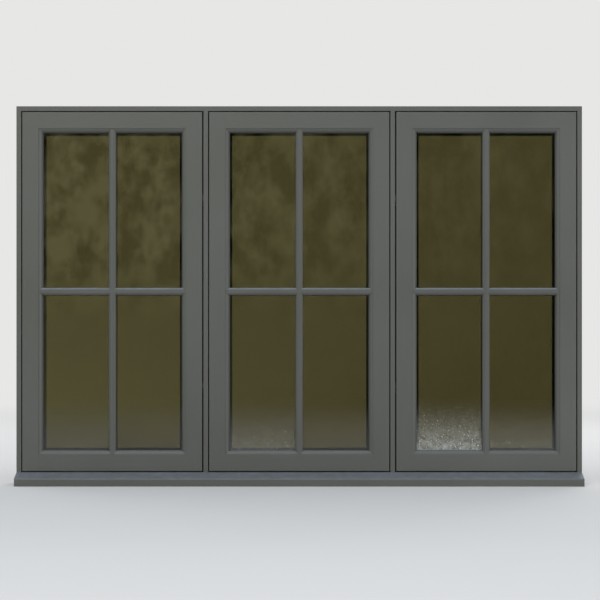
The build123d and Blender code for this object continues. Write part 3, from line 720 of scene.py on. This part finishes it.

# %% [markdown]
# The stays, locks and keeps are stamped from stainless strip, whose rolling marks run along its
# length. Drawing noise out by a few hundred to one gives those marks, and letting them drive both
# the roughness and a very shallow bump makes the metal streak as it turns. The handles are cast,
# polished and then brushed fine, so their marks are shorter and shallower. Where metal is tucked
# into a gap, its colour is darkened as painted shade. That could be painted on piece by piece, but
# the Ambient Occlusion node finds such places by itself.

# %% Metals
# Painted shade: the dark colour that metal tucked into a gap is blended to.
PAINTED_GAP_SHADE = (0.035, 0.034, 0.032, 1)
PAINTED_SHADE_REACH = 14 * MM
PAINTED_SHADE_SAMPLES = 16
STREAK_SHADE = 0.82
MARK_NOISE = (0.25, 0.75)
SMUDGE_SCALE = 22.0
SMUDGE_NOISE = (0.45, 0.75)
SMUDGE_ROUGHENS = (0.0, 0.07)
METAL_EDGE = 0.25 * MM
STRIP = {
    "colour": (0.60, 0.60, 0.59, 1),
    "roughness": (0.24, 0.40),
    "mark_length": 14.0,
    "mark_width": 3200.0,
    "mark_depth": 0.006 * MM,
    "shaded_to_open": (0.12, 0.60),
}
CAST = {
    "colour": (0.63, 0.62, 0.60, 1),
    "roughness": (0.20, 0.30),
    "mark_length": 60.0,
    "mark_width": 2600.0,
    "mark_depth": 0.003 * MM,
    "shaded_to_open": (-0.20, 0.18),
}


def brushed_metal(name, axis, colour, roughness, mark_length, mark_width, mark_depth, shaded_to_open):
    """Bare metal with brush marks along one axis, painted darker as shade where it is least open."""
    material, tree = new_material(name)
    place = here(tree)
    drawn_out = stretch(tree, place, axis, mark_length, mark_width)
    marks = noise(tree, drawn_out, AS_STRETCHED, detail=5.0, roughness=0.6)
    smudges = noise(tree, place, SMUDGE_SCALE, detail=5.0, roughness=0.6)
    streaks = remap(tree, marks, *MOST_NOISE)
    streaked = blend_colours(tree, streaks, shade_of(colour, STREAK_SHADE), colour)
    # Painted shade: the colour darkens where little is open round the metal.
    openness = add(tree, "AmbientOcclusion", {"Distance": PAINTED_SHADE_REACH}, samples=PAINTED_SHADE_SAMPLES)
    open_share = remap(tree, openness.outputs["AO"], *shaded_to_open)
    brushed = remap(tree, marks, *MARK_NOISE, *roughness)
    smudged = remap(tree, smudges, *SMUDGE_NOISE, *SMUDGE_ROUGHENS)
    shader = add(
        tree,
        "BsdfPrincipled",
        {
            "Base Color": blend_colours(tree, open_share, PAINTED_GAP_SHADE, streaked),
            "Metallic": 1.0,
            "Roughness": work_out(tree, "ADD", brushed, smudged),
            "Normal": bump(tree, marks, mark_depth, soft_edges(tree, METAL_EDGE)),
        },
    )
    show(tree, shader.outputs[0])
    return material


level_steel = brushed_metal("stainless_level", "X", **STRIP)
upright_steel = brushed_metal("stainless_upright", "Z", **STRIP)
handle_metal = brushed_metal("satin_chrome", "X", **CAST)
print("metals:", level_steel.name, upright_steel.name, handle_metal.name)

# %% [markdown]
# Now each solid gets its finish. A list could name one for every solid, but it would be long and
# easy to get wrong. The record says what each one is made of, and the longer side of its box says
# which way its grain or brush marks run, so one loop dresses all of them.

# %% Dress the solids
SINGLE_FINISHES = {
    "inner_glass": inner_pane,
    "spacer": spacer_material,
    "seal": seal_material,
    "handle_metal": handle_metal,
}


def longer_axis(name):
    """X for a solid that lies level, and Z for one that stands upright."""
    low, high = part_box(name)
    return "X" if high.x - low.x > high.z - low.z else "Z"


def finish_for(name):
    slot = slots[name]
    if slot in SINGLE_FINISHES:
        return SINGLE_FINISHES[slot]
    if slot == "outer_glass":
        return outer_panes[name.split("_")[0]]
    axis = longer_axis(name)
    if slot == "steel":
        return level_steel if axis == "X" else upright_steel
    if name.endswith("_bar"):
        return paints["bar", axis]
    return paints[slot.removeprefix("painted_"), axis]


for name, solid in nodes.items():
    solid.data.materials.clear()
    solid.data.materials.append(finish_for(name))
print(len(nodes), "solids dressed in", len({finish_for(name).name for name in nodes}), "finishes")

# %% [markdown]
# Screw heads catch the light differently from strip: they are turned, so their marks run round.
# Noise drawn out into rings could give those marks, but each head would need a centre of its own,
# and at this size a plain satin metal with a little dirt in it reads the same.

# %% Metal of the screws
SCREW_STEEL = (0.60, 0.60, 0.59, 1)
SCREW_DIRT = (0.34, 0.335, 0.32, 1)
SCREW_ROUGHNESS = (0.26, 0.48)
DIRT_SCALE = 900.0
DIRT_NOISE = (0.40, 0.72)
DIRT_DEPTH = 0.01 * MM


def screw_metal(name):
    material, tree = new_material(name)
    specks = noise(tree, here(tree), DIRT_SCALE, detail=5.0, roughness=0.7)
    dirt = remap(tree, specks, *DIRT_NOISE)
    shader = add(
        tree,
        "BsdfPrincipled",
        {
            "Base Color": blend_colours(tree, dirt, SCREW_STEEL, SCREW_DIRT),
            "Metallic": 1.0,
            "Roughness": remap(tree, dirt, 0.0, 1.0, *SCREW_ROUGHNESS),
            "Normal": bump(tree, dirt, DIRT_DEPTH),
        },
    )
    show(tree, shader.outputs[0])
    return material


screw_material = screw_metal("screw_steel")
print("screws:", screw_material.name)

# %% [markdown]
# The hardware is held by countersunk screws with a cross recess. They are too small to be solids
# of their own, but a stay or a lock without screws looks wrong at once. Each screw is built from
# rings: a flat top, a tiny rounded rim, the cone that sinks into the plate, and a short shank.
# The cross could be cut out with a modifier, but that can leave slivers. Here it is a loop of
# twelve points, which is carried down into the head. These are the loops that a screw is made of.

# %% Loops of points
RING_POINTS = 36


def ring_of_points(shape, place, radius, height):
    turns = [2 * math.pi * step / RING_POINTS for step in range(RING_POINTS)]
    return [
        shape.verts.new(place @ Vector((radius * math.cos(turn), radius * math.sin(turn), height)))
        for turn in turns
    ]


def cross_of_points(shape, place, reach, width, height):
    """Twelve points round a cross, starting at the end of one arm."""
    points = []
    for quarter in range(4):
        turned = Matrix.Rotation(quarter * math.pi / 2, 4, "Z")
        for corner in ((reach, -width), (reach, width), (width, width)):
            points.append(shape.verts.new(place @ turned @ Vector((*corner, height))))
    return points


def skin_between(shape, first, second):
    """A band of faces between two loops that have as many points."""
    count = len(first)
    for step in range(count):
        after = (step + 1) % count
        shape.faces.new((first[step], first[after], second[after], second[step]))


def loop_edges(shape, points):
    return [
        shape.edges.get((point, after)) or shape.edges.new((point, after))
        for point, after in zip(points, points[1:] + points[:1])
    ]


# %% [markdown]
# With those loops a screw is four rings, one cross at the mouth of the recess and a smaller one at
# its bottom. The flat top lies between a round loop and a cross, so no simple band fits it, and
# Blender's triangle fill closes it instead.

# %% One screw
RIM = 0.15 * MM
CROSS_REACH = 0.58
CROSS_WIDTH = 0.14
PIT_REACH = 0.55
PIT_WIDTH = 0.80
PIT_DEPTH = 0.75


def add_screw(shape, place, head_radius, head_depth, shank_radius, shank_length):
    """One countersunk screw. Its head faces the +Z of its place."""
    top = ring_of_points(shape, place, head_radius - RIM, 0)
    rim = ring_of_points(shape, place, head_radius, -RIM)
    neck = ring_of_points(shape, place, shank_radius, -head_depth)
    end = ring_of_points(shape, place, shank_radius, -shank_length)
    for upper, lower in ((top, rim), (rim, neck), (neck, end)):
        skin_between(shape, upper, lower)
    shape.faces.new(end)

    reach = CROSS_REACH * head_radius
    width = CROSS_WIDTH * head_radius
    mouth = cross_of_points(shape, place, reach, width, 0)
    pit = cross_of_points(shape, place, PIT_REACH * reach, PIT_WIDTH * width, -PIT_DEPTH * head_depth)
    skin_between(shape, mouth, pit)
    shape.faces.new(pit)
    bmesh.ops.triangle_fill(
        shape, edges=loop_edges(shape, top) + loop_edges(shape, mouth), use_beauty=True
    )


# %% [markdown]
# Each screw could be an object of its own, but screws that hold one plate always move together,
# so they are joined into one piece, which rides on the same body as the plate. Nobody drives two
# screws to the same angle. Each is turned at random, by a quarter turn at most, because a cross
# looks the same again after that. The seed is fixed, so that every run gives the same picture.

# %% Screws of one plate
HARD_EDGE = math.radians(30)
spin = random.Random(7)


def screw_piece(name, body, size, spots, facing):
    """The screws that hold one plate, joined into one piece that moves with it."""
    turned = Vector(facing).to_track_quat("Z", "Y").to_matrix().to_4x4()
    shape = bmesh.new()
    for spot in spots:
        own_turn = Matrix.Rotation(spin.uniform(0, math.pi / 2), 4, "Z")
        add_screw(shape, Matrix.Translation(spot) @ turned @ own_turn, **size)
    bmesh.ops.recalc_face_normals(shape, faces=shape.faces)
    mesh = bpy.data.meshes.new(name)
    shape.to_mesh(mesh)
    shape.free()
    mesh.shade_smooth()
    mesh.set_sharp_from_angle(angle=HARD_EDGE)
    mesh.materials.append(screw_material)
    piece = bpy.data.objects.new(name, mesh)
    bpy.context.scene.collection.objects.link(piece)
    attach(piece, body)
    return piece


# %% [markdown]
# The places of the screws follow from the plates that they hold. They could be typed in one by
# one, but the height of each plate's face follows from the solids, and the distances along it are
# those of the holes in the plate. Each head is sunk by a twentieth of a millimetre, because one
# that stands proud would catch on what slides past it. First come the stays: a track is screwed to
# the frame, and the bar that carries the sash is screwed to the sash.

# %% Screws of the stays
STRIP_SCREW = {
    "head_radius": 3.2 * MM,
    "head_depth": 1.15 * MM,
    "shank_radius": 1.9 * MM,
    "shank_length": 3.0 * MM,
}
SUNK = 0.05 * MM
PIVOT_SETBACK = 26 * MM
TRACK_WALL = 1.2 * MM
BAR_RECESS = 0.2 * MM
TRACK_SCREWS = (30 * MM, 90 * MM, 150 * MM, 226 * MM, 258 * MM)
BAR_SCREWS = (24 * MM, 60 * MM, 96 * MM, 142 * MM)
TOWARDS_LOCK = {"left": 1, "right": -1}
UP = {"top": 1, "bottom": -1}


def stay_spots(side, insets, height):
    """Places along a stay, from how far each one is from the sash's hinge edge."""
    low, high = sash_boxes[side]
    hinge_edge = low.x if side == "left" else high.x
    return [(hinge_edge + TOWARDS_LOCK[side] * inset, PIVOT_SETBACK, height) for inset in insets]


def track_screws(side, end):
    track_low, track_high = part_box(f"{side}_{end}_stay_track")
    up = UP[end]
    track_floor = track_high.z - TRACK_WALL if up > 0 else track_low.z + TRACK_WALL
    spots = stay_spots(side, TRACK_SCREWS, track_floor + up * SUNK)
    return screw_piece(f"{side}_{end}_track_screws", "frame", STRIP_SCREW, spots, (0, 0, -up))


def stay_bar_screws(side, end):
    low, high = sash_boxes[side]
    up = UP[end]
    bar_face = (high.z if up > 0 else low.z) - up * BAR_RECESS
    spots = stay_spots(side, BAR_SCREWS, bar_face - up * SUNK)
    name = f"{side}_{end}_stay_bar_screws"
    return screw_piece(name, f"{side}_sash", STRIP_SCREW, spots, (0, 0, up))


# %% [markdown]
# The lock's faceplate is held by four long screws along the edge of the sash. Those that meet the
# sliding rod pass it through slots. Each keep on the mullion has two screws, and the base of each
# handle has two with larger heads. All of them could be measured up from the sill. They are laid
# out from the middle of the sash instead, so that both ends stay alike if its height changes.

# %% Screws of the locks and handles
PLATE_SCREW = {**STRIP_SCREW, "shank_length": 16.0 * MM}
HANDLE_SCREW = {
    "head_radius": 4.1 * MM,
    "head_depth": 1.75 * MM,
    "shank_radius": 2.4 * MM,
    "shank_length": 8.0 * MM,
}
LOCK_GAP = 4 * MM
KEEP_PLATE = 1.8 * MM
CAM_SPACING = 600 * MM
KEEP_SCREW_SETBACK = 45 * MM
KEEP_SCREW_OFFSET = 8.5 * MM
PLATE_SCREWS = (-378 * MM, -180 * MM, 180 * MM, 378 * MM)
BASE_SCREW_OFFSET = 23 * MM


def sash_centre(side):
    """The height of the middle of a sash, where its handle is."""
    low, high = sash_boxes[side]
    return (low.z + high.z) / 2


def plate_screws(side):
    case_low, case_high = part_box(f"{side}_lock_case")
    rod_low, rod_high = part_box(f"{side}_lock_rod")
    towards_lock = TOWARDS_LOCK[side]
    plate_face = case_high.x if towards_lock > 0 else case_low.x
    sunk_x = plate_face - towards_lock * SUNK
    rod_y = (rod_low.y + rod_high.y) / 2
    spots = [(sunk_x, rod_y, sash_centre(side) + offset) for offset in PLATE_SCREWS]
    name = f"{side}_lock_plate_screws"
    return screw_piece(name, f"{side}_sash", PLATE_SCREW, spots, (towards_lock, 0, 0))


def keep_screws(side):
    low, high = sash_boxes[side]
    towards_lock = TOWARDS_LOCK[side]
    lock_edge = high.x if side == "left" else low.x
    sunk_x = lock_edge + towards_lock * (LOCK_GAP - KEEP_PLATE + SUNK)
    spots = [
        (sunk_x, KEEP_SCREW_SETBACK, sash_centre(side) + keep + offset)
        for keep in (-CAM_SPACING / 2, CAM_SPACING / 2)
        for offset in (-KEEP_SCREW_OFFSET, KEEP_SCREW_OFFSET)
    ]
    return screw_piece(f"{side}_keep_screws", "frame", STRIP_SCREW, spots, (-towards_lock, 0, 0))


def base_screws(side):
    low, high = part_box(f"{side}_handle_base")
    centre_x = (low.x + high.x) / 2
    spots = [
        (centre_x, high.y - SUNK, sash_centre(side) + offset)
        for offset in (-BASE_SCREW_OFFSET, BASE_SCREW_OFFSET)
    ]
    return screw_piece(f"{side}_handle_base_screws", f"{side}_sash", HANDLE_SCREW, spots, (0, 1, 0))


# %% [markdown]
# The two opening sashes mirror each other, so one loop drives the screws of both. The middle sash
# is fixed and has no hardware.

# %% Drive all the screws
screw_pieces = []
for side in ("left", "right"):
    for end in ("top", "bottom"):
        screw_pieces += [track_screws(side, end), stay_bar_screws(side, end)]
    screw_pieces += [plate_screws(side), keep_screws(side), base_screws(side)]
print("screws in", len(screw_pieces), "pieces")

# %% [markdown]
# Last, the picture is shown plainly, without a film curve, so that the background stays as pale as
# its recipe says.

# %% Finish
scene = bpy.context.scene
scene.view_settings.view_transform = "Standard"
